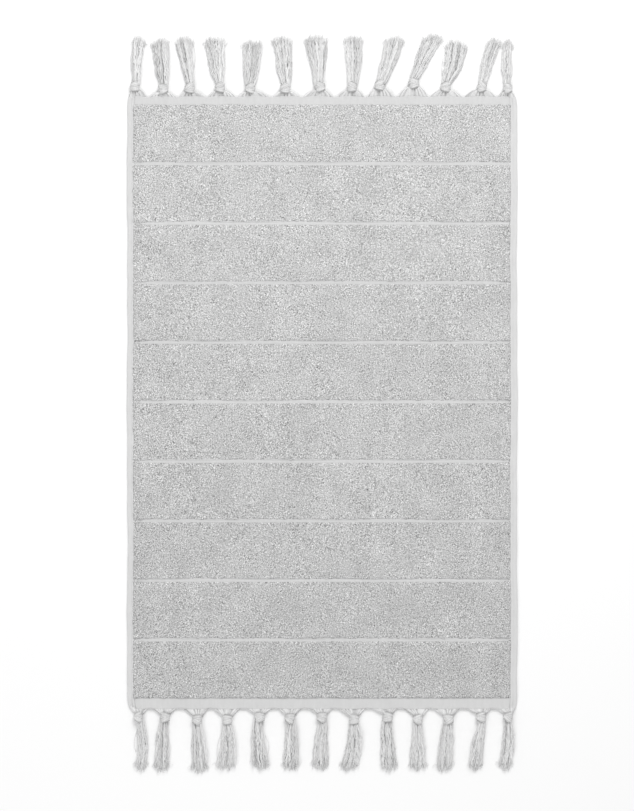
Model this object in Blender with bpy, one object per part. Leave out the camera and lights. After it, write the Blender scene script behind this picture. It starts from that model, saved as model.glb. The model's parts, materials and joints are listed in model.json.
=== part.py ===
"""Bath mat: ten terry panels parted by nine flat woven bars, with side hems, end headers and a
hand-knotted fringe. The mat lies on the floor, face up, with its length along Y. The origin is on
the floor under its centre. Units are metres, and +Z is up.

The cloth is one woven piece. It bends at the bars, so each panel is a solid of its own, hinged to
the next on an axis along its bar. The middle bar folds the mat in half, face to face, and the
other bars roll it up. Each tassel is hinged to its header on an axis along the edge."""

import math

import bmesh
import bpy
from mathutils import Matrix, Vector

# The cloth.
MAT_WIDTH = 0.500  # over both side hems
MAT_LENGTH = 0.785  # over both headers, without the fringe
PANEL_COUNT = 10
BAR_WIDTH = 0.0045  # the flat stripe between two panels
HEADER_LENGTH = 0.0140  # the flat band at each end
HEM_WIDTH = 0.0085
GROUND_THICKNESS = 0.0016  # the woven base that carries the pile
PILE_HEIGHT = 0.0032  # the loops, on each side of the base
HEADER_THICKNESS = 0.0024
HEM_THICKNESS = 0.0046  # the cloth's edge, turned over twice
HEADER_SLOPE = 0.0050  # how far a header takes to come down from the base to the floor
PILE_ROUNDING = 0.0012
HEM_ROUNDING = 0.0010

# The folds.
MIDDLE_BAR = PANEL_COUNT // 2
BAR_BEND = math.radians(35)  # how far a bar other than the middle one curls up
FOLD_AXIS_RISE = 0.0003  # the middle bar's axis is this far above the pile, which folds shut on it

# The fringe.
FRINGE_LENGTH = 0.0770  # header to trimmed ends
FAN_LENGTH = 0.0080  # the yarns that draw together between header and knot
FAN_ROOT_THICKNESS = 0.0018
KNOT_LENGTH = 0.0130
KNOT_WIDTH = 0.0138
KNOT_HEIGHT = 0.0124
NECK_WIDTH = 0.0096  # the bundle where it goes into the knot and comes out of it
NECK_HEIGHT = 0.0080
SKIRT_WIDTH = 0.0195  # the loose ends, where they are trimmed
SKIRT_HEIGHT = 0.0076
LIFT_AXIS_OFFSET = 0.0020  # from a header's edge out to its tassels' axis
FAN_SIDE_GAP = 0.0006  # between two neighbouring fans

# Hand-tied tassels, from -X to +X: the edge that each gathers, its knot's offset and its lean.
# The edges are shares of the width. Offsets are in metres, and leans in degrees towards +X.
FAR_TASSELS = (
    (25, -0.0035, 4), (39, 0.0012, -3), (38, -0.0018, -7), (38, -0.0009, -6), (45, -0.0033, 1),
    (39, -0.0009, -5), (42, 0.0020, -5), (40, 0.0019, 2), (39, -0.0008, 17), (42, 0.0012, 22),
    (44, 0.0004, 12), (44, 0.0012, 16), (26, 0.0024, 2),
)
NEAR_TASSELS = (
    (27, -0.0010, 2), (41, 0.0001, -4), (39, 0.0026, 3), (41, 0.0000, -2), (42, -0.0004, 3),
    (37, -0.0003, 1), (38, 0.0028, -2), (42, 0.0029, -6), (41, 0.0045, 2), (39, 0.0040, -1),
    (41, 0.0017, -4), (40, 0.0040, -7), (30, 0.0055, -4),
)

# Modelling.
CLEARANCE = 0.0003  # between neighbouring solids
ARC_STEPS = 2
SECTION_POINTS = 10  # round a tassel
ROUND, SQUARE = 2.0, 5.0  # exponents of a section's outline

THICKNESS = GROUND_THICKNESS + 2 * PILE_HEIGHT
GROUND_LOW = PILE_HEIGHT
GROUND_HIGH = PILE_HEIGHT + GROUND_THICKNESS
GROUND_MIDDLE = THICKNESS / 2
PILE_LENGTH = MAT_LENGTH - 2 * HEADER_LENGTH
PANEL_PITCH = (PILE_LENGTH + BAR_WIDTH) / PANEL_COUNT
PANEL_LENGTH = PANEL_PITCH - BAR_WIDTH
PILE_HALF_WIDTH = MAT_WIDTH / 2 - HEM_WIDTH
FAN_ROOT_HEIGHT = HEADER_THICKNESS / 2
LIFT_AXIS_HEIGHT = HEADER_THICKNESS  # its top edge, over which the tassels turn back

pivots = {}


def clear_scene():
    for obj in list(bpy.data.objects):
        bpy.data.objects.remove(obj, do_unlink=True)


def make_material(name, colour, roughness):
    material = bpy.data.materials.new(name)
    material.use_nodes = True
    shader = material.node_tree.nodes["Principled BSDF"]
    shader.inputs["Base Color"].default_value = (*colour, 1.0)
    shader.inputs["Roughness"].default_value = roughness
    shader.inputs["Metallic"].default_value = 0.0
    return material


def set_parent(obj, pivot, parent):
    """Puts obj's origin at pivot, a point of the mat's frame, under its parent."""
    pivots[obj.name] = Vector(pivot)
    obj.parent = parent
    obj.location = pivots[obj.name] - (pivots[parent.name] if parent else Vector())


def make_frame(name, pivot, parent):
    empty = bpy.data.objects.new(name, None)
    bpy.context.scene.collection.objects.link(empty)
    set_parent(empty, pivot, parent)
    return empty


def make_piece(name, shape, pivot, parent, material):
    """Turns shape, a bmesh in the mat's frame, into an object with its origin at pivot."""
    bmesh.ops.recalc_face_normals(shape, faces=shape.faces)
    mesh = bpy.data.meshes.new(name)
    shape.to_mesh(mesh)
    shape.free()
    mesh.transform(Matrix.Translation(-Vector(pivot)))
    mesh.materials.append(material)
    mesh.shade_smooth()
    mesh.set_sharp_from_angle(angle=math.radians(40))
    obj = bpy.data.objects.new(name, mesh)
    bpy.context.scene.collection.objects.link(obj)
    set_parent(obj, pivot, parent)
    return obj


def outline(corners):
    """The points of an outline whose right-angled corners are (u, v, rounding radius)."""
    points = []
    for i, (u, v, radius) in enumerate(corners):
        corner = Vector((u, v))
        if not radius:
            points.append(corner)
            continue
        back = (Vector(corners[i - 1][:2]) - corner).normalized() * radius
        on = (Vector(corners[(i + 1) % len(corners)][:2]) - corner).normalized() * radius
        for step in range(ARC_STEPS + 1):
            turn = math.radians(90) * step / ARC_STEPS
            points.append(corner + back * (1 - math.sin(turn)) + on * (1 - math.cos(turn)))
    return points


def prism(points, axis, low, high):
    """A solid with this outline, from low to high along X or Y. Z is the outline's second axis."""
    shape = bmesh.new()
    place = {"X": lambda u, v: (low, u, v), "Y": lambda u, v: (u, low, v)}[axis]
    face = shape.faces.new([shape.verts.new(place(u, v)) for u, v in points])
    made = bmesh.ops.extrude_face_region(shape, geom=[face])["geom"]
    travel = Vector((high - low, 0, 0) if axis == "X" else (0, high - low, 0))
    moved = [item for item in made if isinstance(item, bmesh.types.BMVert)]
    bmesh.ops.translate(shape, vec=travel, verts=moved)
    return shape


def bar_position(bar):
    """The middle of a bar, along Y. Bar 1 is between panels 1 and 2."""
    return (bar - PANEL_COUNT / 2) * PANEL_PITCH


def bar_pivot(bar):
    height = THICKNESS + FOLD_AXIS_RISE if bar == MIDDLE_BAR else GROUND_MIDDLE
    return Vector((0, bar_position(bar), height))


def base_reach(bar):
    """How far a panel's woven base reaches into the bar beside it.

    The space left at the hinge line is what the base closes when the bar curls up."""
    above_axis = max(GROUND_HIGH - bar_pivot(bar).z, 0)
    closes = above_axis * math.tan(BAR_BEND / 2)
    return BAR_WIDTH / 2 - CLEARANCE / 2 - closes


def panel_span(panel):
    """The low and high ends of a panel's pile, along Y."""
    low = bar_position(panel - 1) + BAR_WIDTH / 2
    return low, low + PANEL_LENGTH


def make_panel(panel, pivot, parent, material):
    """The pile on both sides of the base, with the base standing out into the bars."""
    low, high = panel_span(panel)
    base_low = low - base_reach(panel - 1) if panel > 1 else low
    base_high = high + base_reach(panel) if panel < PANEL_COUNT else high
    corners = [(low, 0, PILE_ROUNDING), (high, 0, PILE_ROUNDING)]
    if panel < PANEL_COUNT:
        corners += [(high, GROUND_LOW, 0), (base_high, GROUND_LOW, 0)]
        corners += [(base_high, GROUND_HIGH, 0), (high, GROUND_HIGH, 0)]
    corners += [(high, THICKNESS, PILE_ROUNDING), (low, THICKNESS, PILE_ROUNDING)]
    if panel > 1:
        corners += [(low, GROUND_HIGH, 0), (base_low, GROUND_HIGH, 0)]
        corners += [(base_low, GROUND_LOW, 0), (low, GROUND_LOW, 0)]
    shape = prism(outline(corners), "X", -PILE_HALF_WIDTH, PILE_HALF_WIDTH)
    return make_piece(f"terry_panel_{panel:02d}", shape, pivot, parent, material)


def make_hem(side, panel, pivot, parent, material):
    """One panel's length of a side hem. The end ones also run past the header."""
    low, high = panel_span(panel)
    low = low if panel > 1 else -MAT_LENGTH / 2
    high = high if panel < PANEL_COUNT else MAT_LENGTH / 2
    sign = {"left": -1, "right": 1}[side]
    inner = sign * (PILE_HALF_WIDTH + CLEARANCE)
    outer = sign * MAT_WIDTH / 2
    corners = [
        (inner, 0, 0),
        (outer, 0, HEM_ROUNDING),
        (outer, HEM_THICKNESS, HEM_ROUNDING),
        (inner, HEM_THICKNESS, 0),
    ]
    shape = prism(outline(corners), "Y", low, high)
    return make_piece(f"{side}_hem_{panel:02d}", shape, pivot, parent, material)


def make_header(end, pivot, parent, material):
    """The flat band past the last pile, which comes down from the base to the floor."""
    sign = {"near": -1, "far": 1}[end]
    pile_edge = PILE_LENGTH / 2 + CLEARANCE
    landing = pile_edge + HEADER_SLOPE
    edge = MAT_LENGTH / 2
    corners = [
        (pile_edge, GROUND_LOW),
        (landing, 0),
        (edge, 0),
        (edge, HEADER_THICKNESS),
        (landing, HEADER_THICKNESS),
        (pile_edge, GROUND_HIGH),
    ]
    points = [(sign * y, z) for y, z in corners]
    shape = prism(points, "X", -PILE_HALF_WIDTH, PILE_HALF_WIDTH)
    return make_piece(f"{end}_header", shape, pivot, parent, material)


def section(width, height, exponent):
    """A tassel's outline across its length, as (across, up) points about its middle."""
    points = []
    for step in range(SECTION_POINTS):
        turn = 2 * math.pi * (step + 0.5) / SECTION_POINTS
        across = math.copysign(abs(math.cos(turn)) ** (2 / exponent), math.cos(turn))
        up = math.copysign(abs(math.sin(turn)) ** (2 / exponent), math.sin(turn))
        points.append((across, up))
    widest = max(across for across, _ in points)
    tallest = max(up for _, up in points)
    return [(a / widest * width / 2, u / tallest * height / 2) for a, u in points]


def tassel_stations(fan_width, bulk):
    """A tassel's sections: distance from the header, width, height and outline exponent.

    bulk is the bundle's breadth beside an average one, from how many yarns it gathers."""
    knot_start = FAN_LENGTH
    knot_end = FAN_LENGTH + KNOT_LENGTH
    knot_middle = (knot_start + knot_end) / 2
    root_start = LIFT_AXIS_OFFSET - FAN_ROOT_THICKNESS / 2
    return [
        (root_start, fan_width, FAN_ROOT_THICKNESS / 3, SQUARE),
        (LIFT_AXIS_OFFSET, fan_width, FAN_ROOT_THICKNESS, SQUARE),
        (knot_start * 0.62, fan_width * 0.62, NECK_HEIGHT * 0.45, SQUARE),
        (knot_start, NECK_WIDTH * bulk, NECK_HEIGHT * bulk, ROUND),
        (knot_start + KNOT_LENGTH * 0.2, KNOT_WIDTH * bulk * 0.93, KNOT_HEIGHT * bulk * 0.93, ROUND),
        (knot_middle, KNOT_WIDTH * bulk, KNOT_HEIGHT * bulk, ROUND),
        (knot_end - KNOT_LENGTH * 0.2, KNOT_WIDTH * bulk * 0.93, KNOT_HEIGHT * bulk * 0.93, ROUND),
        (knot_end, NECK_WIDTH * bulk, NECK_HEIGHT * bulk, ROUND),
        (FRINGE_LENGTH * 0.5, SKIRT_WIDTH * bulk * 0.82, SKIRT_HEIGHT, ROUND),
        (FRINGE_LENGTH, SKIRT_WIDTH * bulk, SKIRT_HEIGHT * 0.9, ROUND),
    ]


def make_tassel(name, sign, fan_low, fan_high, knot_offset, lean, bulk, parent, material):
    """Fan, knot and skirt of one tassel, as one bundle of yarns."""
    fan_middle = (fan_low + fan_high) / 2
    pivot = Vector((fan_middle, sign * (MAT_LENGTH / 2 + LIFT_AXIS_OFFSET), LIFT_AXIS_HEIGHT))
    knot_middle = FAN_LENGTH + KNOT_LENGTH / 2
    shape = bmesh.new()
    rings = []
    for out, width, height, exponent in tassel_stations(fan_high - fan_low, bulk):
        drawn = min(max((out - LIFT_AXIS_OFFSET) / (FAN_LENGTH - LIFT_AXIS_OFFSET), 0), 1)
        swing = max(out - knot_middle, 0) * math.tan(lean)
        x = fan_middle + knot_offset * drawn + swing
        z = max(height / 2, FAN_ROOT_HEIGHT if drawn == 0 else 0)
        y = sign * (MAT_LENGTH / 2 + out)
        ring = [shape.verts.new((x + a, y, z + u)) for a, u in section(width, height, exponent)]
        rings.append(ring)
    for one, two in zip(rings, rings[1:]):
        for i in range(SECTION_POINTS):
            j = (i + 1) % SECTION_POINTS
            shape.faces.new((one[i], one[j], two[j], two[i]))
    shape.faces.new(rings[0])
    shape.faces.new(rings[-1])
    return make_piece(name, shape, pivot, parent, material)


def make_fringe(end, tassels, parent, material):
    sign = {"near": -1, "far": 1}[end]
    total = sum(share for share, _, _ in tassels)
    average = total / len(tassels)
    low = -MAT_WIDTH / 2
    for number, (share, knot_offset, lean) in enumerate(tassels, 1):
        high = low + MAT_WIDTH * share / total
        bulk = math.sqrt(share / average)
        fan = (low + FAN_SIDE_GAP / 2, high - FAN_SIDE_GAP / 2)
        name = f"{end}_tassel_{number:02d}"
        make_tassel(name, sign, *fan, knot_offset, math.radians(lean), bulk, parent, material)
        low = high


def make_frames():
    """An empty on each bar's axis, chained outwards from the two panels beside the middle bar."""
    frames = {MIDDLE_BAR: make_frame(f"panel_{MIDDLE_BAR:02d}_frame", (0, 0, 0), None)}
    for panel in range(MIDDLE_BAR - 1, 0, -1):
        pivot = bar_pivot(panel)
        frames[panel] = make_frame(f"panel_{panel:02d}_frame", pivot, frames[panel + 1])
    for panel in range(MIDDLE_BAR + 1, PANEL_COUNT + 1):
        pivot = bar_pivot(panel - 1)
        frames[panel] = make_frame(f"panel_{panel:02d}_frame", pivot, frames[panel - 1])
    return frames


def main():
    clear_scene()
    terry = make_material("terry_pile", (0.60, 0.60, 0.60), 0.95)
    flat_weave = make_material("flat_weave", (0.70, 0.70, 0.70), 0.85)
    yarn = make_material("fringe_yarn", (0.66, 0.66, 0.66), 0.90)
    frames = make_frames()
    for panel, frame in frames.items():
        pivot = pivots[frame.name]
        make_panel(panel, pivot, frame, terry)
        for side in ("left", "right"):
            make_hem(side, panel, pivot, frame, flat_weave)
    for end, panel, tassels in (("near", 1, NEAR_TASSELS), ("far", PANEL_COUNT, FAR_TASSELS)):
        frame = frames[panel]
        make_header(end, pivots[frame.name], frame, flat_weave)
        make_fringe(end, tassels, frame, yarn)


main()
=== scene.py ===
import json
import math

import bpy
import numpy as np
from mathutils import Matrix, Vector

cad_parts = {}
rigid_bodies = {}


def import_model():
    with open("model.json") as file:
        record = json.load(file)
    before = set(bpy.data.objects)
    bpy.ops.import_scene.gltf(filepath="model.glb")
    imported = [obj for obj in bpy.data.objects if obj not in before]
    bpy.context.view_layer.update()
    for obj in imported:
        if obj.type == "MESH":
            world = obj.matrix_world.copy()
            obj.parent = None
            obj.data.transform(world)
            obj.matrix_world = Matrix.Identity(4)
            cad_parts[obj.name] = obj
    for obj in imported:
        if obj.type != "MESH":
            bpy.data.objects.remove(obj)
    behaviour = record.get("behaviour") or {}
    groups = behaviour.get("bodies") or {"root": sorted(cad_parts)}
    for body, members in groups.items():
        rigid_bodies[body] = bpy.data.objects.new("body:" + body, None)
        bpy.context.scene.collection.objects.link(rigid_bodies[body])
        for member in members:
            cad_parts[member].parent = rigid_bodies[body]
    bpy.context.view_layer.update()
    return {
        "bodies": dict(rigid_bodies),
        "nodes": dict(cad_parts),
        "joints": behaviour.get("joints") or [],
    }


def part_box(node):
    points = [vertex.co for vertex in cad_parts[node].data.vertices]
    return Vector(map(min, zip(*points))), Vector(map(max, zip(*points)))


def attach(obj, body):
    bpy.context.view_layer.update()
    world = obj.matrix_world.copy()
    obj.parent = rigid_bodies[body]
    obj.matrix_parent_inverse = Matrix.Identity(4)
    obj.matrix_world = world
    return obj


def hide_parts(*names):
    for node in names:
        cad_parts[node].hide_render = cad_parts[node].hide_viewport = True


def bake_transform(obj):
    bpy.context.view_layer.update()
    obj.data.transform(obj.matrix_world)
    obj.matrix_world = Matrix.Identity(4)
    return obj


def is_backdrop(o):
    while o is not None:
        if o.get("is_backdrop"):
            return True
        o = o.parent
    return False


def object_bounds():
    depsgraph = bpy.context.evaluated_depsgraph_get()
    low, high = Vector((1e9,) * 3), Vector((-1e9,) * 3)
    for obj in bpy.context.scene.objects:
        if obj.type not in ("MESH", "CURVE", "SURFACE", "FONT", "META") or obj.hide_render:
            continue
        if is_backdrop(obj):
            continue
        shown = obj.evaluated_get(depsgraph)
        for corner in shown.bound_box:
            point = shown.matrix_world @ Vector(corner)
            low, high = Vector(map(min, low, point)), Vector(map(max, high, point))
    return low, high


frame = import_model()


# ---- The woven base ----
# A plain-woven cotton cloth carries everything. It shows only in the nine flat bars, where no loops
# are raised. It is made in eleven stretches, from the middle of one panel to the middle of the
# next, because the mat bends at the bars.
BASE_THICKNESS = 0.0016
BASE_RIB = 0.0011  # from one weft rib to the next, in a bar
BASE_RIB_DEPTH = 0.00022
BAR_RISE = 0.0018  # thicker weft in the bars makes them stand up from the rest of the base
BAR_RISE_REACH = 0.0036  # to each side of a bar's middle
BAR_CREASE, BAR_CREASE_REACH = 0.0012, 0.0008  # the middle of a bar sinks here and there
BAR_ROWS_REACH = 0.0035  # the base has most of its rows of points this near a bar's middle
SIDE_TUCK, END_TUCK = 0.0002, 0.0006  # the base goes this far under the hems and the headers
WAVE_START = 0.20  # the middle of the cloth is straight, up to this far from its centre line
SIDE_PULL = 0.0005  # the hems' stitches draw the sides in
SIDE_WAVES = ((0.0004, 21.0, 1.3), (0.0003, 47.0, 2.1), (0.0002, 96.0, 0.4))
CORNER_LENGTH = 0.017  # the end tassels draw the corners in, over this length
CORNER_PULL = {(-1, -1): 0.0030, (1, -1): 0.0014, (-1, 1): 0.0012, (1, 1): 0.0030}

panels = sorted(name for name in frame["bodies"] if name.startswith("panel_"))
terry = [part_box(f"terry_{name}") for name in panels]
bars = sorted(joint["pos_m"][1] for joint in frame["joints"] if joint["child"] in panels)
pile_side, pile_end, mat_top = terry[-1][1]
mat_side, mat_end, hem_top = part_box("right_hem_10")[1]
base_middle = mat_top / 2
base_top = base_middle + BASE_THICKNESS / 2
edges = {"near": mat_end + 0.0006, "far": mat_end - 0.0026}  # the cloth was cut a little unevenly
bar_half = (bars[1] - bars[0] - (pile_end - bars[-1])) / 2
middles = [(low.y + high.y) / 2 for low, high in terry]
base_end = pile_end + END_TUCK


def lie(points):
    """Where points of the flat cloth lie: the sides waver a little, and the corners are drawn in."""
    x, y, z = np.asarray(points, float).T
    side = np.sign(x)
    outer = np.clip((np.abs(x) - WAVE_START) / (mat_side - WAVE_START), 0, 1.2) ** 1.5
    moved = x - side * outer * SIDE_PULL
    for depth, turns, shift in SIDE_WAVES:
        moved += outer * depth * np.sin(y * turns + side * shift)
    for (across, end), pull in CORNER_PULL.items():
        near = np.clip((y * end - mat_end + CORNER_LENGTH) / CORNER_LENGTH, 0, 1.15)
        moved -= across * pull * near**2 * outer * (side == across)
    return np.column_stack([moved, y, z])


def coordinates(piece):
    """A piece's points, as rows of x, y and z."""
    points = np.empty(len(piece.data.vertices) * 3, np.float32)
    piece.data.vertices.foreach_get("co", points)
    return points.reshape(-1, 3).astype(float)


def set_coordinates(piece, points):
    piece.data.vertices.foreach_set("co", np.asarray(points, np.float32).ravel())
    piece.data.update()


def add_grid(name, columns, rows):
    """A flat grid of faces, one unit wide and one long."""
    bpy.ops.object.select_all(action="DESELECT")
    bpy.ops.mesh.primitive_grid_add(x_subdivisions=columns, y_subdivisions=rows, size=1)
    piece = bpy.context.object
    piece.name = piece.data.name = name
    return piece


def close_roll(piece, angle):
    """Joins the two sides of a rolled-up grid, and fills its ends."""
    bpy.ops.object.mode_set(mode="EDIT")
    bpy.ops.mesh.select_all(action="SELECT")
    bpy.ops.mesh.remove_doubles(threshold=1e-6)
    bpy.ops.mesh.fill_holes(sides=0)
    bpy.ops.mesh.normals_make_consistent(inside=False)
    bpy.ops.object.mode_set(mode="OBJECT")
    bpy.ops.object.shade_smooth_by_angle(angle=math.radians(angle))


def rolled_grid(name, columns, rows, place):
    """A closed body: a grid rolled up until its two sides meet.

    place turns shares of the way round and of the way along into points of the flat cloth."""
    piece = add_grid(name, columns, rows)
    flat = coordinates(piece)
    set_coordinates(piece, lie(place(flat[:, 0] + 0.5, flat[:, 1] + 0.5)))
    close_roll(piece, 50)
    return piece


def stretch(number, near_end, far_end):
    """The low and high ends of a stretch of cloth, along the mat. The outer ones stop at these ends."""
    cuts = [-near_end, *middles, far_end]
    return cuts[number], cuts[number + 1]


def fix(piece, number):
    """An inner stretch stays where it was built, with its place baked into its points. The outer ones go
    with the end panels.
    """
    if 0 < number < len(panels):
        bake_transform(piece)
    else:
        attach(piece, panels[0] if number == 0 else panels[-1])


def new_group(name, inputs, outputs):
    """A shader node group: its tree, and its input and output nodes."""
    group = bpy.data.node_groups.new(name, "ShaderNodeTree")
    for title, kind, value in inputs:
        socket = group.interface.new_socket(name=title, in_out="INPUT", socket_type=kind)
        if value is not None:
            socket.default_value = value
    for title, kind in outputs:
        group.interface.new_socket(name=title, in_out="OUTPUT", socket_type=kind)
    return group, group.nodes.new("NodeGroupInput"), group.nodes.new("NodeGroupOutput")


def math_node(tree, operation, one, two, three=None):
    """A Math node on values or sockets. Returns its output."""
    node = tree.nodes.new("ShaderNodeMath")
    node.operation = operation
    for socket, given in zip(node.inputs, (one, two, three)):
        if isinstance(given, bpy.types.NodeSocket):
            tree.links.new(given, socket)
        elif given is not None:
            socket.default_value = given
    return node.outputs[0]


def make_patches_group():
    """Soft light and dark patches: a factor that swings by Amount to each side of 1."""
    inputs = [("Vector", "NodeSocketVector", None), ("Scale", "NodeSocketFloat", 30.0)]
    inputs += [("Amount", "NodeSocketFloat", 0.05), ("Detail", "NodeSocketFloat", 2.0)]
    group, given, result = new_group("patches", inputs, [("Factor", "NodeSocketFloat")])
    noise = group.nodes.new("ShaderNodeTexNoise")
    group.links.new(given.outputs["Vector"], noise.inputs["Vector"])
    group.links.new(given.outputs["Scale"], noise.inputs["Scale"])
    group.links.new(given.outputs["Detail"], noise.inputs["Detail"])
    swing = math_node(group, "MULTIPLY_ADD", noise.outputs[0], 4.0, -2.0)
    swing = math_node(group, "MULTIPLY", swing, given.outputs["Amount"])
    group.links.new(math_node(group, "ADD", swing, 1.0), result.inputs["Factor"])
    return group


def make_weave_group():
    """Plain weave: the height of the threads that cross, and the painted shade between them."""
    inputs = [("Vector", "NodeSocketVector", None), ("Warp", "NodeSocketFloat", 300.0)]
    inputs += [("Weft", "NodeSocketFloat", 300.0)]
    outputs = [("Height", "NodeSocketFloat"), ("Shade", "NodeSocketFloat")]
    group, given, result = new_group("plain_weave", inputs, outputs)
    threads = []
    for direction, title in (("X", "Warp"), ("Y", "Weft")):
        wave = group.nodes.new("ShaderNodeTexWave")
        wave.bands_direction = direction
        wave.inputs["Distortion"].default_value = 0.6
        wave.inputs["Detail"].default_value = 1.0
        group.links.new(given.outputs["Vector"], wave.inputs["Vector"])
        group.links.new(given.outputs[title], wave.inputs["Scale"])
        threads.append(wave.outputs["Fac"])
    height = math_node(group, "MULTIPLY", math_node(group, "ADD", *threads), 0.5)
    group.links.new(height, result.inputs["Height"])
    shade = math_node(group, "MULTIPLY_ADD", height, 0.14, 0.93)
    group.links.new(shade, result.inputs["Shade"])
    return group


patches = make_patches_group()
plain_weave = make_weave_group()


class Cotton:
    """A cotton material: a Principled shader whose colour and height are built up by its methods."""

    def __init__(self, name, shade, sheen):
        self.material = bpy.data.materials.new(name)
        self.material.use_nodes = True
        self.tree = self.material.node_tree
        self.shader = self.tree.nodes["Principled BSDF"]
        self.shader.inputs["Roughness"].default_value = 0.95
        self.shader.inputs["Specular IOR Level"].default_value = 0.2
        self.shader.inputs["Sheen Weight"].default_value = sheen
        self.shader.inputs["Sheen Roughness"].default_value = 0.5
        self.place = self.tree.nodes.new("ShaderNodeTexCoord").outputs["Object"]
        self.shade = shade

    def stretched(self, scale):
        """The place on the piece, stretched along the three axes."""
        mapping = self.tree.nodes.new("ShaderNodeMapping")
        mapping.inputs["Scale"].default_value = scale
        self.tree.links.new(self.place, mapping.inputs["Vector"])
        return mapping.outputs["Vector"]

    def group(self, group, vector, **values):
        """One of the shared effects, with this cotton's own values."""
        node = self.tree.nodes.new("ShaderNodeGroup")
        node.node_tree = group
        self.tree.links.new(vector, node.inputs["Vector"])
        for title, value in values.items():
            node.inputs[title].default_value = value
        return node

    def darken(self, factor):
        """Multiplies the colour so far by a factor."""
        self.shade = math_node(self.tree, "MULTIPLY", self.shade, factor)

    def patchy(self, scale, amount, detail=2.0, stretched=(1, 1, 1)):
        """Makes the colour lighter and darker in patches. Returns their factor."""
        node = self.group(patches, self.stretched(stretched), Scale=scale, Amount=amount, Detail=detail)
        self.darken(node.outputs["Factor"])
        return node.outputs["Factor"]

    def finish(self, height, depth, strength=1.0):
        """Connects the colour, and a bump of this depth."""
        colour = self.tree.nodes.new("ShaderNodeCombineColor")
        for socket in colour.inputs[:3]:
            self.tree.links.new(self.shade, socket)
        self.tree.links.new(colour.outputs[0], self.shader.inputs["Base Color"])
        bump = self.tree.nodes.new("ShaderNodeBump")
        bump.inputs["Distance"].default_value = depth
        bump.inputs["Strength"].default_value = strength
        self.tree.links.new(height, bump.inputs["Height"])
        self.tree.links.new(bump.outputs["Normal"], self.shader.inputs["Normal"])
        return self.material


def make_flat_weave(name, shade):
    """Smooth plain weave, for the base, the headers and the hems."""
    cotton = Cotton(name, shade, sheen=0.15)
    cotton.patchy(16.0, 0.012)
    cotton.patchy(260.0, 0.03, stretched=(1, 0.25, 1))
    weave = cotton.group(plain_weave, cotton.place, Warp=330.0, Weft=290.0)
    # Painted shade, darker between the threads.
    cotton.darken(weave.outputs["Shade"])
    return cotton.finish(weave.outputs["Height"], 0.00025)


flat_weave = make_flat_weave("flat_weave", 0.66)
base_pieces = []
for number in range(len(panels) + 1):
    low, high = stretch(number, base_end, base_end)
    inside = 0 < number < len(panels)
    bar = bars[number - 1] if inside else (low + high) / 2

    def base_point(round_share, along_share):
        across = 1 - np.abs(2 - 4 * round_share)
        rim = np.clip(6 * np.sin(2 * np.pi * round_share), -1, 1)
        rows = [low, bar - BAR_ROWS_REACH, bar + BAR_ROWS_REACH, high]
        x, y = across * (pile_side + SIDE_TUCK), np.interp(along_share, [0, 0.2, 0.8, 1], rows)
        rib = BASE_RIB_DEPTH * (np.cos(2 * np.pi * (y - bar) / BASE_RIB) - 1) / 2
        rib += BAR_RISE * np.exp(-(((y - bar) / BAR_RISE_REACH) ** 4)) * inside
        crease = np.clip(0.55 + 0.7 * np.sin(43 * x + 2.3 * number), 0, 1)
        rib -= BAR_CREASE * crease * np.exp(-(((y - bar) / BAR_CREASE_REACH) ** 2)) * inside
        z = base_middle + rim * (BASE_THICKNESS / 2 + rib)
        return np.column_stack([x, y, z])

    base = rolled_grid(f"woven_base_{number:02d}", 80, 44, base_point)
    base.data.materials.append(flat_weave)
    fix(base, number)
    base_pieces.append(base)


# ---- The terry pile ----
# Uncut loops of soft cotton yarn, raised on both sides of the base. Each stands up from the base on
# its own, leans a little, and is pressed by its neighbours, so a panel looks grained. The pile's
# edge beside a bar is ragged, and hangs over it.
LOOP_ACROSS, LOOP_ALONG = 0.0024, 0.0021  # from one loop to the next
LOOP_HALF_LENGTH, LOOP_HALF_WIDTH = 0.00175, 0.00105
LOOP_LEAN, LOOP_LEAN_SPREAD = math.radians(52), math.radians(46)
LOOP_DEPTH = 0.0008  # how far a gap goes down between loops
SHORTEST_LOOP = 0.0008
LOOP_PRESS = 0.0003  # the mat's own weight presses the loops down
SWELL = 0.00022  # soft hills in the pile
END_SHOULDER, SIDE_SHOULDER = 0.0024, 0.0036  # the pile rounds off over these widths, at its edges
FAR_SHOULDER, NEAR_SHOULDER = 0.0011, 0.0030  # and over these, on the two sides of a bar
FAR_GAP, NEAR_GAP = 0.0002, 0.0004  # between a bar and the loops on its two sides
OVERHANG = 0.0016  # how far it hangs over a header
SIDE_OVERHANG = {-1: 0.0014, 1: 0.0}  # and over the hem of each side
RAGGED = 0.0007  # how uneven its edges are
CROWDING = 0.0006  # how far it comes and goes on the far side of a bar
PILE_SINK = 0.0006  # the pile's edges go this far into the base
FACE_STEP, BACK_STEP = 0.0012, 0.0022  # between the points of the face's pile, and of the back's

loop_table = np.random.default_rng(11).random((2, 260, 480, 5))


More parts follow.
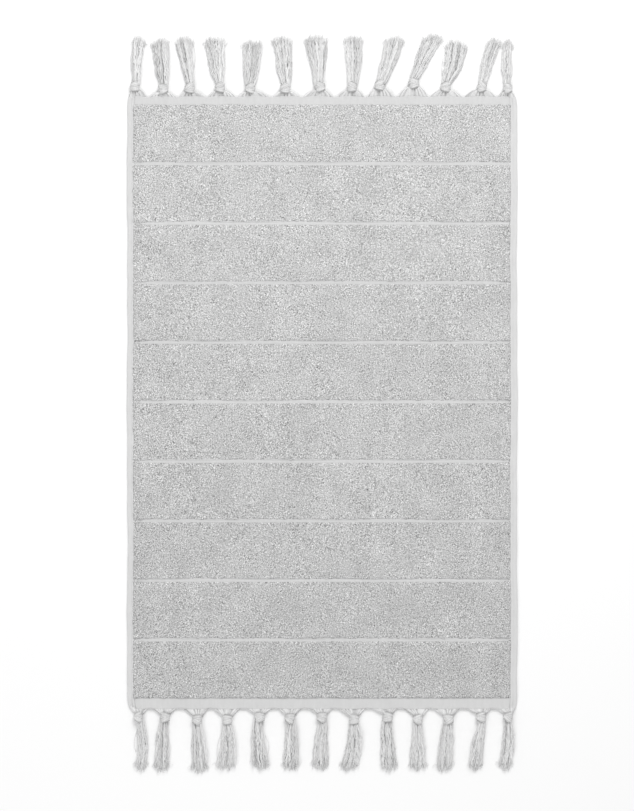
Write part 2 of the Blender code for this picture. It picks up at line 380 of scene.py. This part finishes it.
def loops(x, y, side):
    """How high the tallest loop stands over each point, from 0 in a gap to 1 on a crown."""
    row = np.floor(y / LOOP_ALONG).astype(int)
    tallest = np.zeros_like(x)
    for row_step in (-1, 0, 1):
        r = row + row_step
        shifted = x / LOOP_ACROSS - 0.5 * (r % 2)
        for column_step in (-1, 0, 1):
            c = np.floor(shifted).astype(int) + column_step
            jitter_x, jitter_y, lean, size, height = loop_table[side, c + 130, r + 240].T
            middle_x = (c + 0.5 + 0.5 * (r % 2) + 0.5 * (jitter_x - 0.5)) * LOOP_ACROSS
            middle_y = (r + 0.5 + 0.6 * (jitter_y - 0.5)) * LOOP_ALONG
            turn = LOOP_LEAN + LOOP_LEAN_SPREAD * 2 * (lean - 0.5)
            dx, dy = x - middle_x, y - middle_y
            big = 0.85 + 0.3 * size
            long = (dx * np.cos(turn) + dy * np.sin(turn)) / (LOOP_HALF_LENGTH * big)
            wide = (dy * np.cos(turn) - dx * np.sin(turn)) / (LOOP_HALF_WIDTH * big)
            dome = np.sqrt(np.clip(1 - long**2 - wide**2, 0, 1)) * (0.55 + 0.45 * height)
            tallest = np.maximum(tallest, dome)
    return tallest


def ripple(x, y, size, seed):
    """A smooth random field from -1 to 1, whose hills are about size wide."""
    table = np.random.default_rng(seed).random((int(1.2 / size) + 8, int(1.2 / size) + 8)) * 2 - 1
    u, v = (x + 0.6) / size + 2, (y + 0.6) / size + 2
    i, j = np.floor(u).astype(int), np.floor(v).astype(int)
    u, v = u - i, v - j
    u, v = u * u * (3 - 2 * u), v * v * (3 - 2 * v)
    low = table[i, j] * (1 - u) + table[i + 1, j] * u
    high = table[i, j + 1] * (1 - u) + table[i + 1, j + 1] * u
    return low * (1 - v) + high * v


def shoulder(distance, width):
    """The pile's height next to its edge, as a share of its full height."""
    inward = np.clip(distance / width, 0, 1)
    return 1 - (1 - inward) ** 2.3


def edge_share(x, y, bar, side):
    """How much of its height the pile has at each point, beside hems, headers and a bar."""
    ragged = RAGGED * (ripple(x, y, 0.0042, 31 + side) + 0.6 * ripple(x, y, 0.0019, 35 + side))
    over = np.where(x < 0, SIDE_OVERHANG[-1], SIDE_OVERHANG[1])
    share = shoulder(pile_side + over - np.abs(x) + ragged, SIDE_SHOULDER)
    share = np.minimum(share, shoulder(pile_end + OVERHANG - np.abs(y) + ragged, END_SHOULDER))
    if bar is not None:
        # The loops lean to the near end, so they crowd the far side of each bar, here and there.
        crowd = CROWDING * ripple(x, y, 0.016, 61 + side)
        far_side = shoulder(y - bar - bar_half - FAR_GAP + crowd + ragged, FAR_SHOULDER)
        near_side = shoulder(bar - y - bar_half - NEAR_GAP + 0.6 * ragged, NEAR_SHOULDER)
        share = np.minimum(share, np.maximum(far_side, near_side))
    return share


def pile_rows(low, high, bar, step):
    """Where a stretch of pile has its rows of points. They are closer next to its bar."""
    rows = list(np.linspace(low, high, round((high - low) / step) + 1))
    if bar is not None:
        for edge in (bar - bar_half, bar + bar_half):
            rows += list(np.linspace(edge - 2.2 * step, edge + 2.2 * step, 9))
    rows = np.unique(np.round([row for row in rows if low <= row <= high], 5))
    return rows[np.concatenate([[True], np.diff(rows) > step * 0.3])]


def make_grain_group():
    """Loops that lie down in diagonal lines, which run one way in some places and the other elsewhere.
    Their shade is painted shade, darker where the lines lie low.
    """
    outputs = [("Height", "NodeSocketFloat"), ("Shade", "NodeSocketFloat")]
    inputs = [("Vector", "NodeSocketVector", None), ("Amount", "NodeSocketFloat", 0.2)]
    group, given, result = new_group("diagonal_grain", inputs, outputs)
    lines = []
    for angle in (40, -52):
        mapping = group.nodes.new("ShaderNodeMapping")
        mapping.vector_type = "TEXTURE"
        mapping.inputs["Rotation"].default_value = (0, 0, math.radians(angle))
        mapping.inputs["Scale"].default_value = (0.0019, 0.00075, 0.0019)
        noise = group.nodes.new("ShaderNodeTexNoise")
        noise.inputs["Scale"].default_value = 1.0
        noise.inputs["Detail"].default_value = 1.5
        group.links.new(given.outputs["Vector"], mapping.inputs["Vector"])
        group.links.new(mapping.outputs["Vector"], noise.inputs["Vector"])
        lines.append(noise.outputs[0])
    where = group.nodes.new("ShaderNodeTexNoise")
    where.inputs["Scale"].default_value = 55.0
    where.inputs["Detail"].default_value = 1.0
    group.links.new(given.outputs["Vector"], where.inputs["Vector"])
    share = math_node(group, "MULTIPLY_ADD", where.outputs[0], 7.0, -3.0)
    share.node.use_clamp = True
    first = math_node(group, "MULTIPLY", lines[0], share)
    second = math_node(group, "MULTIPLY", lines[1], math_node(group, "SUBTRACT", 1.0, share))
    height = math_node(group, "ADD", first, second)
    group.links.new(height, result.inputs["Height"])
    # Painted shade: darker where the grain's lines lie low.
    swing = math_node(group, "MULTIPLY_ADD", height, 4.0, -2.0)
    swing = math_node(group, "MULTIPLY", swing, given.outputs["Amount"])
    group.links.new(math_node(group, "ADD", swing, 1.0), result.inputs["Shade"])
    return group


diagonal_grain = make_grain_group()


def make_terry_cotton():
    """Painted shade: the loops are painted pale on their crowns and darker down between them. Painted
    light:
    the pile is painted lighter to the far end and darker to the near end, as the light falls off along
    the mat."""
    cotton = Cotton("terry_loops", 0.66, sheen=0.3)
    # Painted shade from the loops' crown heights: darker down in the gaps between them.
    crown = cotton.tree.nodes.new("ShaderNodeAttribute")
    crown.attribute_name = "crown"
    cotton.darken(math_node(cotton.tree, "MULTIPLY_ADD", crown.outputs["Fac"], 0.11, 0.76))
    # Painted light: lighter to the far end and darker to the near end, as the light falls off along the
    # mat.
    along = cotton.tree.nodes.new("ShaderNodeSeparateXYZ")
    cotton.tree.links.new(cotton.place, along.inputs[0])
    cotton.darken(math_node(cotton.tree, "MULTIPLY_ADD", along.outputs["Y"], 0.12, 1.0))
    cotton.patchy(28.0, 0.07, detail=3.0)
    cotton.patchy(1.0, 0.03, detail=1.0, stretched=(42, 3, 1))
    grain = cotton.group(diagonal_grain, cotton.place, Amount=0.95)
    cotton.darken(grain.outputs["Shade"])
    cotton.patchy(900.0, 0.15, detail=0.0)
    return cotton.finish(grain.outputs["Height"], 0.0012, strength=0.8)


terry_cotton = make_terry_cotton()


def make_pile(name, number, step, side):
    """One stretch's loops: those of the face for side 0, and of the back for side 1."""
    inside = 0 < number < len(panels)
    bar = bars[number - 1] if inside else None
    low, high = stretch(number, pile_end + OVERHANG, pile_end + OVERHANG)
    rows = pile_rows(low, high, bar, step)
    left, right = pile_side + SIDE_OVERHANG[-1], pile_side + SIDE_OVERHANG[1]
    columns = np.linspace(-left, right, round((left + right) / step) + 1)
    columns = np.append(columns, [right, -left])  # the last two are behind, inside the base
    piece = add_grid(name, len(columns), len(rows) - 1)
    flat = coordinates(piece)
    column = np.rint((flat[:, 0] + 0.5) * len(columns)).astype(int) % len(columns)
    x, behind = columns[column], column >= len(columns) - 2
    y = rows[np.rint((flat[:, 1] + 0.5) * (len(rows) - 1)).astype(int)]
    crown = loops(x, y, side)
    share = edge_share(x, y, bar, side)
    depth = mat_top - base_top
    soft = SWELL * ripple(x, y, 0.038, 41 + side) + SWELL * ripple(x, y, 0.008, 51 + side)
    height = depth - LOOP_DEPTH * (1 - crown) - LOOP_PRESS + soft
    rise = -PILE_SINK + share * (PILE_SINK + np.clip(height, SHORTEST_LOOP, depth))
    facing = 1 - 2 * side
    z = base_middle + facing * np.where(behind, 0, BASE_THICKNESS / 2 + rise)
    set_coordinates(piece, lie(np.column_stack([x, y, z])))
    # Painted shade for the colour: darker in the gaps between loops, and painted lighter on the pile's
    # sloping edges.
    painted_crown_shade = (np.clip(crown, 0, 1) * share + (1 - share)).astype(np.float32)
    piece.data.attributes.new("crown", "FLOAT", "POINT").data.foreach_set("value", painted_crown_shade)
    close_roll(piece, 80)
    piece.data.materials.append(terry_cotton)
    fix(piece, number)
    return piece


pile_pieces = []
for number in range(len(panels) + 1):
    face = make_pile(f"terry_face_{number:02d}", number, FACE_STEP, 0)
    back = make_pile(f"terry_back_{number:02d}", number, BACK_STEP, 1)
    if number < len(panels):
        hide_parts(f"terry_{panels[number]}")
    pile_pieces.append([face, back])


# ---- The side hems ----
# The cloth's long edges, turned over twice and sewn down with a lockstitch along the inner edge. The
# turned cloth has no loops, and makes a firm, slightly rounded border.
HEM_CREASE = 0.0037  # from the mat's edge to the crease along the hem
HEM_CREASE_WIDTH, HEM_CREASE_DEPTH = 0.0006, 0.00045
STITCH_PITCH, STITCH_LENGTH = 0.0029, 0.0021
STITCH_INSET = 0.0042  # from the hem's inner edge to the stitches
STITCH_RADIUS = 0.00028
STITCH_BOW = 0.00035  # a stitch's middle stands up from the hem
STITCH_DENT = 0.0007  # the stitches pull the hem in, this far to each side
UNDER_STITCH = 0.0003  # how high the stitches below the hem are
HEM_SQUARENESS = 0.45
HEM_TUCK = 0.0012  # it runs in this far under the loops
HEM_THIN_END = 0.02  # its ends are thinner, over this length

hem_inner = pile_side - HEM_TUCK


def hem_rise(y, side):
    """The hem isn't pressed quite flat."""
    return 1 + 0.05 * np.sin(y * 63 + side) + 0.04 * np.sin(y * 171 + 2 * side)


hem_weave = make_flat_weave("hem_weave", 0.69)  # folded cloth looks lighter, for less light goes through
hem_pieces = [[] for _ in range(len(panels) + 1)]
for number in range(len(panels) + 1):
    low, high = stretch(number, edges["near"], edges["far"])
    for title, side in (("left", -1), ("right", 1)):

        def hem_point(round_share, along_share):
            turn = 2 * np.pi * round_share
            across = np.sign(np.cos(turn)) * np.abs(np.cos(turn)) ** HEM_SQUARENESS
            up = np.sign(np.sin(turn)) * np.abs(np.sin(turn)) ** HEM_SQUARENESS
            x = (hem_inner + mat_side) / 2 + across * (mat_side - hem_inner) / 2
            y = low + (high - low) * along_share
            crease = np.exp(-(((mat_side - HEM_CREASE - x) / HEM_CREASE_WIDTH) ** 2))
            row = np.exp(-(((x - hem_inner - STITCH_INSET) / STITCH_DENT) ** 2))
            pull = row * (0.5 + 0.5 * np.cos(2 * np.pi * y / STITCH_PITCH))
            thickness = hem_top * hem_rise(y, side) - HEM_CREASE_DEPTH * (crease + 1.1 * pull)
            near_end = np.clip((np.abs(y) - mat_end + HEM_THIN_END) / HEM_THIN_END, 0, 1)
            thickness *= 1 - 0.3 * near_end**2
            return np.column_stack([side * x, y, thickness * (1 + up) / 2])

        hem = rolled_grid(f"{title}_hem_cloth_{number:02d}", 30, 84, hem_point)
        hem.data.materials.append(hem_weave)
        if number < len(panels):
            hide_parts(f"{title}_hem_{number + 1:02d}")
        fix(hem, number)
        hem_pieces[number].append(hem)


def make_yarns(name, yarns, material):
    """A piece of round yarns. Each is its points, its radii, its shade, and whether it closes."""
    bpy.ops.object.select_all(action="DESELECT")
    bpy.ops.curve.primitive_bezier_curve_add()
    piece = bpy.context.object
    piece.name = name
    curve = piece.data
    curve.dimensions = "3D"
    curve.bevel_depth = 1.0  # a point's radius is then its own
    curve.bevel_resolution = 1
    curve.splines.clear()
    for points, radii, _, closed in yarns:
        spline = curve.splines.new("POLY")
        spline.points.add(len(points) - 1)
        spline.points.foreach_set("co", np.column_stack([points, np.ones(len(points))]).ravel())
        spline.points.foreach_set("radius", np.broadcast_to(radii, len(points)).astype(np.float32))
        spline.use_cyclic_u = closed
    bpy.ops.object.convert(target="MESH")
    piece.data.name = name
    bpy.ops.object.mode_set(mode="EDIT")
    bpy.ops.mesh.select_all(action="SELECT")
    bpy.ops.mesh.fill_holes(sides=0)
    bpy.ops.object.mode_set(mode="OBJECT")
    bpy.ops.object.shade_smooth()
    piece.data.materials.clear()
    piece.data.materials.append(material)
    sides = len(piece.data.vertices) // sum(len(points) for points, _, _, _ in yarns)
    shades = np.concatenate([np.full(len(points) * sides, shade) for points, _, shade, _ in yarns])
    shades = shades.astype(np.float32)
    piece.data.attributes.new("shade", "FLOAT", "POINT").data.foreach_set("value", shades)
    return piece


def make_yarn_cotton(name, shade, amount):
    """Fibres run along the mat, as the fringe's yarns do. Each yarn has its own shade, which is partly
    its own tone and partly painted shade: darker in folds and creases and under other yarns.
    """
    cotton = Cotton(name, shade, sheen=0.3)
    own = cotton.tree.nodes.new("ShaderNodeAttribute")
    own.attribute_name = "shade"
    cotton.darken(own.outputs["Fac"])
    cotton.patchy(60.0, 0.03)
    fibres = cotton.patchy(1.0, amount, detail=2.0, stretched=(900, 160, 900))
    return cotton.finish(fibres, 0.0003, strength=0.7)


sewing_thread = make_yarn_cotton("sewing_thread", 0.66, 0.06)
for number in range(len(panels) + 1):
    low, high = stretch(number, edges["near"], edges["far"])
    stitches = []
    for side in (-1, 1):
        for count in range(math.ceil(low / STITCH_PITCH), math.floor(high / STITCH_PITCH)):
            middle = (count + 0.5) * STITCH_PITCH
            y = middle + STITCH_LENGTH * np.linspace(-0.5, 0.5, 5)
            x = np.full(5, side * (hem_inner + STITCH_INSET))
            top = hem_top * hem_rise(y, side) - HEM_CREASE_DEPTH * 0.6
            bow = STITCH_BOW * np.cos(np.linspace(-1.4, 1.4, 5))
            for height in (top + bow, np.full(5, UNDER_STITCH)):
                stitches.append((lie(np.column_stack([x, y, height])), STITCH_RADIUS, 1.0, False))
    stitching = make_yarns(f"hem_stitching_{number:02d}", stitches, sewing_thread)
    fix(stitching, number)
    hem_pieces[number].append(stitching)


# ---- The end headers ----
# Flat woven bands without loops, where the weaver starts and stops. The thick knots hold up their
# outer edges a little. The knotted warp yarns pull these edges into shallow scallops.
SCALLOP = 0.0014  # how far the middle of a scallop stands out
HEADER_RISE = 0.0006  # from the pile to the outer edge
GATHER_RISE = 0.0009  # how far the cloth lifts in front of a knot
GATHER_START, GATHER_LENGTH = 0.006, 0.007  # it starts to lift this far from the edge, over this length
PUCKERS = 5  # small folds in a scallop
PUCKER_DEPTH, PUCKER_LENGTH = 0.0010, 0.0045
HEADER_TUCK = 0.0016  # a header starts this far under the loops
TASSEL_COUNT = 13  # at each end


class Tassel:
    """Where one tassel is, as its solid in the frame has it."""

    def __init__(self, end, number):
        self.node = f"{end}_tassel_{number:02d}"
        self.number = number
        self.sign = {"near": -1, "far": 1}[end]
        solid = coordinates(frame["nodes"][self.node])
        out = solid[:, 1] * self.sign - mat_end
        root = solid[out < 0.0021]
        self.low, self.high = root[:, 0].min(), root[:, 0].max()
        knot = solid[(out > 0.013) & (out < 0.016)]
        self.knot = knot[:, 0].mean()
        self.reach = out.max()
        self.tip = solid[out > self.reach - 0.001][:, 0].mean()


tassels = {end: [Tassel(end, n + 1) for n in range(TASSEL_COUNT)] for end in ("near", "far")}


def scallop_place(x, end):
    """How far across its scallop each point is, from 0 to 1. It is 0 in the notches too."""
    place = np.zeros_like(x)
    for tassel in tassels[end]:
        inside = (x >= tassel.low) & (x <= tassel.high)
        across = np.clip((x - tassel.low) / (tassel.high - tassel.low), 0, 1)
        place = np.where(inside, across, place)
    return place


header_pieces = {}
for end, sign in (("near", -1), ("far", 1)):

    def header_point(round_share, along_share):
        x = (2 * along_share - 1) * (hem_inner + SIDE_TUCK)
        outward = 1 - np.abs(1 - 2 * round_share)
        rim = np.clip(5 * np.sin(2 * np.pi * round_share), -1, 1)
        place = scallop_place(x, end)
        scallop = np.sin(np.pi * place)  # 0 in a notch, 1 in the middle of a scallop
        edge = edges[end] + SCALLOP * (scallop**0.8 - 0.25)
        inner = pile_end - HEADER_TUCK
        y = inner + (edge - inner) * outward
        middle = base_middle + HEADER_RISE * np.clip((y - pile_end) / (edges[end] - pile_end), 0, 1)
        gather = np.clip((y - edges[end] + GATHER_START) / GATHER_LENGTH, 0, 1)
        lift = GATHER_RISE * scallop**2 * gather**2
        pucker = 0.5 - 0.5 * np.cos(2 * np.pi * (PUCKERS * place + 0.3 * np.sin(x * 61)))
        fold = np.clip((y - edges[end] + PUCKER_LENGTH) / PUCKER_LENGTH, 0, 1)
        lift -= PUCKER_DEPTH * pucker * scallop * fold
        z = middle + rim * BASE_THICKNESS / 2 + lift
        return np.column_stack([x, sign * y, z])

    header = rolled_grid(f"{end}_header_cloth", 32, 320, header_point)
    header.data.materials.append(flat_weave)
    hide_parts(f"{end}_header")
    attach(header, panels[0] if end == "near" else panels[-1])
    header_pieces[end] = header


# ---- The fringe ----
# The warp yarns, left long at both ends and tied by hand in thirteen bundles an end. Each bundle
# draws together in a fan, goes through an overhand knot, and hangs loose in a skirt of wavy yarns
# with frayed ends.
YARN_RADIUS = 0.00070
FAN_PITCH = 0.00112  # between the yarns of a fan, where they leave the header
FAN_RIDGES = 5
FAN_RIDGE_HEIGHT = 0.0019
FAN_START = 0.0024  # a fan's yarns begin this far inside the header
FAN_LOW, FAN_HIGH, FAN_CROWN = 0.0022, 0.0032, 0.0034  # its height at the header and the knot
FAN_IN_KNOT_WIDTH, FAN_IN_KNOT_LENGTH = 0.0100, 0.0022
KNOT_HALF_LENGTH = 0.0062
KNOT_YARN_RADIUS = YARN_RADIUS * 1.1
KNOT_RADIUS = 0.0061  # to the middle of the wrapped yarns
KNOT_FLATNESS = 0.80
KNOT_HEIGHT = 0.0063  # of its middle
NECK_HALF_WIDTH = 0.0033
SKIRT_LOCKS = 8
YARNS_IN_LOCK = 8
SKIRT_YARN_RADIUS = 0.00060
SKIRT_POINTS = 22  # along each of its yarns
LONGEST_YARN = 0.0035  # past the skirt's trimmed end
FLOOR_GAP = 0.0002
STRAY_RADIUS, FUZZ_RADIUS = 0.00026, 0.00017
FUZZ_THREADS = 44
# Each tassel was tied and trimmed by hand, so no two are the same. From left to right: how far past
# the header its knot is, how far its skirt reaches, how wide that is at its end, and how early it
# spreads (1 is evenly, less is early).
TIED = {
    "far": (
        (0.0130, 0.0745, 0.0165, 0.8),
        (0.0098, 0.0725, 0.0225, 0.7),
        (0.0108, 0.0745, 0.0235, 0.9),
        (0.0118, 0.0750, 0.0275, 1.0),
        (0.0108, 0.0705, 0.0265, 0.5),
        (0.0108, 0.0755, 0.0265, 0.8),
        (0.0125, 0.0770, 0.0280, 0.8),
        (0.0125, 0.0760, 0.0255, 0.5),
        (0.0145, 0.0755, 0.0260, 0.5),
        (0.0170, 0.0780, 0.0245, 0.9),
        (0.0125, 0.0705, 0.0260, 0.6),
        (0.0125, 0.0725, 0.0190, 0.8),
        (0.0105, 0.0710, 0.0140, 0.7),
    ),
    "near": (
        (0.0105, 0.0775, 0.0185, 0.8),
        (0.0108, 0.0785, 0.0205, 0.7),
        (0.0140, 0.0805, 0.0230, 0.8),
        (0.0140, 0.0765, 0.0255, 0.8),
        (0.0108, 0.0755, 0.0225, 0.6),
        (0.0125, 0.0765, 0.0200, 0.6),
        (0.0110, 0.0765, 0.0220, 0.8),
        (0.0135, 0.0775, 0.0225, 0.8),
        (0.0105, 0.0780, 0.0200, 0.6),
        (0.0135, 0.0775, 0.0205, 0.8),
        (0.0135, 0.0780, 0.0225, 0.7),
        (0.0105, 0.0770, 0.0170, 0.9),
        (0.0105, 0.0765, 0.0185, 0.7),
    ),
}

fringe_yarn = make_yarn_cotton("fringe_yarn", 0.82, 0.10)


def wander(random, steps, size, waves):
    """A smooth sideways path of a loose yarn, which starts straight."""
    along = np.linspace(0, 1, steps)
    path = np.zeros(steps)
    for _ in range(3):
        path += random.normal() * np.sin(2 * np.pi * (along * random.uniform(*waves) + random.random()))
    return size * (path - path[0]) * np.clip(along * 3, 0, 1)


def fan_yarns(tassel, end, random):
    """The warp yarns between the header and the knot, which draw together in ridges."""
    knot_out = TIED[end][tassel.number - 1][0]
    yarns = []
    count = round((tassel.high - tassel.low) / FAN_PITCH)
    along = np.linspace(0, 1, 10)
    entry = knot_out - KNOT_HALF_LENGTH + FAN_IN_KNOT_LENGTH
    phase, other_phase = random.random(), 6 * random.random()
    for i in range(count):
        share = (i + 0.5) / count
        root_x = tassel.low + share * (tassel.high - tassel.low)
        knot_x = tassel.knot + (share - 0.5) * FAN_IN_KNOT_WIDTH
        middle = math.sin(math.pi * share)
        root_out = SCALLOP * (middle**0.8 - 0.25) - FAN_START
        if end == "far":
            pull, climb = along**1.2, 1 - (1 - along) ** 1.8
        else:
            pull, climb = along, along
        x = root_x + (knot_x - root_x) * pull
        out = root_out + (entry - root_out) * climb
        uneven = 0.45 * math.sin(9 * share + other_phase)
        ridge = abs(math.sin(math.pi * (FAN_RIDGES * share + phase + uneven)))
        fold = FAN_RIDGE_HEIGHT * (ridge - 0.6) * np.sin(np.pi * np.clip(along * 1.1, 0, 1))
        top = FAN_HIGH + FAN_CROWN * middle
        z = FAN_LOW + (top - FAN_LOW) * (1 - (1 - along) ** 2) + fold + 0.0004 * (i % 2)
        # Painted shade: the yarns down in the folds between the fan's ridges are darker.
        shade = 0.70 + 0.26 * ridge + random.uniform(-0.12, 0.04)
        points = np.column_stack([x, tassel.sign * (edges[end] + out), z])
        yarns.append((points, YARN_RADIUS, shade, False))
    return yarns


def knot_yarns(tassel, end, random):
    """Two turns of the bundle cross over the front, with a crease between them, over its core."""
    knot_out = TIED[end][tassel.number - 1][0]
    middle = np.array([tassel.knot, tassel.sign * (edges[end] + knot_out), KNOT_HEIGHT])
    lean = math.atan2(tassel.tip - tassel.knot, tassel.reach - knot_out)
    slant = random.choice([-1, 1])
    yarns = []
    # Each turn's place along the knot, its slant, its number of yarns, half its width, and its size.
    turns = [(0.0024, slant * random.uniform(0.20, 0.70), 8, 0.0035, 1.0)]
    turns += [(-0.0037, -slant * random.uniform(0.0, 0.45), 6, 0.0026, 0.93)]
    turns += [(-0.0008, 0.0, 7, 0.0036, 0.84)]
    for shift, tilt, count, half_width, size in turns:
        angle = lean * 0.5 + tilt
        axis = np.array([math.sin(angle), tassel.sign * math.cos(angle), 0])
        across = np.array([math.cos(angle), -tassel.sign * math.sin(angle), 0])
        for i in range(count):
            place = (i - (count - 1) / 2) / ((count - 1) / 2)
            radius = KNOT_RADIUS * size * math.sqrt(1 - 0.62 * place**2)
            turn = np.linspace(0, 2 * np.pi, 24, endpoint=False)
            weave = half_width * place + 0.0003 * np.sin(2 * turn + i)
            ring = radius + 0.00015 * np.sin(3 * turn + 2 * i)
            points = middle + np.outer(weave + shift, axis)
            points += np.outer(ring * np.cos(turn), across)
            points += np.outer(ring * np.sin(turn) * KNOT_FLATNESS, [0, 0, 1])
            # Painted shade: the yarns at the edges of each turn, where the turns crease, and every other
            # yarn are darker, so the creases show.
            shade = 0.94 - 0.30 * abs(place) ** 3 - 0.10 * (i % 2) + random.uniform(-0.09, 0.03)
            yarns.append((points, KNOT_YARN_RADIUS, shade, True))
    return yarns


def skirt_yarns(tassel, end, random):
    """The loose yarns past the knot, which hang together in locks and come down to the floor."""
    knot_out, reach, width, early = TIED[end][tassel.number - 1]
    start_out = knot_out + KNOT_HALF_LENGTH * 0.2
    length = reach - start_out
    beside = random.choice([-1, -1, 1]) * random.uniform(0.0006, 0.0024)
    along = np.linspace(0, 1, SKIRT_POINTS)
    belly = 0.0013 * random.normal() * np.sin(np.pi * along)
    yarns = []
    for lock in range(SKIRT_LOCKS):
        place = (lock - (SKIRT_LOCKS - 1) / 2) / ((SKIRT_LOCKS - 1) / 2)
        layer = random.random()
        lock_end = place * (width / 2 - 0.0022) + 0.0006 * random.normal()
        lock_path = wander(random, SKIRT_POINTS, 0.0004, (0.6, 1.6))
        lock_trim = random.normal(0, 0.0010) - 0.0042 * place**2
        for _ in range(YARNS_IN_LOCK):
            angle, offset = random.uniform(0, 2 * np.pi), math.sqrt(random.random())
            off_x, off_z = offset * math.cos(angle), offset * math.sin(angle)
            neck = tassel.knot + beside + place * NECK_HALF_WIDTH + off_x * 0.0008
            tip_x = tassel.tip + lock_end + off_x * 0.0017
            path = neck + (tip_x - tassel.tip + tassel.knot + beside - neck) * along**early
            path += (tassel.tip - tassel.knot - beside) * along + belly + lock_path
            for waves in ((2.0, 4.0), (6.0, 10.0)):
                path += wander(random, SKIRT_POINTS, 0.00034, waves)
            trim = lock_trim + random.normal(0, 0.0027)
            out = start_out + (length + min(trim, LONGEST_YARN)) * along
            neck_z = KNOT_HEIGHT - 0.0008 + off_z * 0.0026 + (layer - 0.5) * 0.002
            tip_z = SKIRT_YARN_RADIUS + FLOOR_GAP + 0.0034 * layer + 0.0006 * (off_z + 1)
            z = neck_z + (tip_z - neck_z) * along**0.7
            z += np.abs(wander(random, SKIRT_POINTS, 0.0003, (3, 8)))
            taper = np.interp(along, [0, 0.8, 1], [1.0, 0.95, 0.40])
            points = np.column_stack([path, tassel.sign * (edges[end] + out), z])
            # Painted shade: the lower yarns, under the others, are darker.
            shade = 0.80 + 0.16 * layer + random.uniform(-0.12, 0.08)
            radii = SKIRT_YARN_RADIUS * random.uniform(0.8, 1.15) * taper
            yarns.append((points, radii, shade, False))
    return yarns


def stray_yarns(tassel, end, random):
    """Thin threads that have worked loose, beside the skirt and past its ends."""
    knot_out, reach, width, early = TIED[end][tassel.number - 1]
    yarns = []
    start_out = knot_out + KNOT_HALF_LENGTH
    for _ in range(random.integers(1, 3)):
        side = random.choice([-1, 1])
        first = random.uniform(0.0, 0.4)
        along = np.linspace(first, random.uniform(first + 0.3, 1.0), 13)
        edge = NECK_HALF_WIDTH + (width / 2 - NECK_HALF_WIDTH) * along**early
        arch = np.sin(np.pi * np.linspace(0, 1, 13))
        middle = tassel.knot + (tassel.tip - tassel.knot) * along
        x = middle + side * (edge * 0.9 + random.uniform(0.0012, 0.0036) * arch)
        out = start_out + (reach - start_out) * along
        points = np.column_stack([x, tassel.sign * (edges[end] + out), 0.0012 + 0.0015 * arch])
        yarns.append((points, STRAY_RADIUS, 0.95, False))
    for _ in range(FUZZ_THREADS):
        place = random.uniform(-1, 1)
        along = np.linspace(0, 1, 7)
        x = tassel.tip + place * (width / 2 + 0.002 * along) + wander(random, 7, 0.0009, (0.4, 1.3))
        out = reach - 0.006 - 0.0042 * place**2 + random.uniform(0.003, 0.0090) * along
        z = random.uniform(0.0006, 0.0035) + 0.0008 * along * random.random()
        points = np.column_stack([x, tassel.sign * (edges[end] + out), z])
        yarns.append((points, FUZZ_RADIUS, 0.95, False))
    return yarns


tassel_pieces = {"near": [], "far": []}
for end, sign in (("near", -1), ("far", 1)):
    for tassel in tassels[end]:
        random = np.random.default_rng(100 * (sign + 2) + tassel.number)
        yarns = []
        for make in (fan_yarns, knot_yarns, skirt_yarns, stray_yarns):
            yarns += make(tassel, end, random)
        yarns = [(lie(yarn[0]), *yarn[1:]) for yarn in yarns]
        fringe = make_yarns(f"{tassel.node}_yarns", yarns, fringe_yarn)
        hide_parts(tassel.node)
        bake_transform(fringe)
        tassel_pieces[end].append(fringe)


# ---- The pieces on each stretch ----
# For each stretch of the base, the pieces on it are gathered: its loops, hems and stitches, and for the
# end stretches also a header and a fringe. Nothing further is done with them.
for number, base in enumerate(base_pieces):
    low, high = stretch(number, base_end, base_end)
    on_it = pile_pieces[number] + hem_pieces[number]
    if number in (0, len(panels)):
        end = "near" if number == 0 else "far"
        on_it = on_it + [header_pieces[end]] + tassel_pieces[end]


# ---- The floor, the light and the camera ----
# A plain pale studio floor, two large soft lights, and a camera straight above the mat. The key
# light is over the far end, so the knots and the bars throw soft shadows to the near end.
def make_floor():
    bpy.ops.object.select_all(action="DESELECT")
    bpy.ops.mesh.primitive_plane_add(size=14, location=(0, 0, -0.0002))
    floor = bpy.context.object
    floor.name = "floor"
    material = bpy.data.materials.new("pale_floor")
    material.use_nodes = True
    shader = material.node_tree.nodes["Principled BSDF"]
    shader.inputs["Base Color"].default_value = (0.93, 0.93, 0.93, 1)
    shader.inputs["Roughness"].default_value = 0.9
    floor.data.materials.append(material)
    floor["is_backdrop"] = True


def add_light(name, place, target, size, power):
    """A round soft light that faces its target."""
    bpy.ops.object.light_add(type="AREA", location=place)
    light = bpy.context.object
    light.name = name
    light.data.shape = "DISK"
    light.data.size = size
    light.data.energy = power
    direction = np.array(target) - np.array(place)
    down = math.atan2(math.hypot(direction[0], direction[1]), -direction[2])
    light.rotation_euler = (down, 0, math.atan2(direction[1], direction[0]) - math.pi / 2)


make_floor()
add_light("key_light", (0.4, 1.7, 2.3), (0, 0.2, 0), 1.5, 44)
add_light("fill_light", (-1.0, -1.6, 2.6), (0, 0, 0), 2.2, 25)

world = bpy.context.scene.world or bpy.data.worlds.new("studio")
bpy.context.scene.world = world
world.use_nodes = True
world.node_tree.nodes["Background"].inputs["Color"].default_value = (1, 1, 1, 1)
world.node_tree.nodes["Background"].inputs["Strength"].default_value = 0.55

CAMERA_HEIGHT = 3.0
VIEW_LENGTH = 1.0397  # of floor, from the near side of the view to the far side
VIEW_CENTRE = (-0.0068, -0.0051)
bpy.ops.object.camera_add(location=(*VIEW_CENTRE, CAMERA_HEIGHT), rotation=(0, 0, 0))
camera = bpy.context.object
camera.data.lens = camera.data.sensor_width * CAMERA_HEIGHT / VIEW_LENGTH
bpy.context.scene.camera = camera
bpy.context.scene.view_settings.view_transform = "Standard"

low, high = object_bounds()
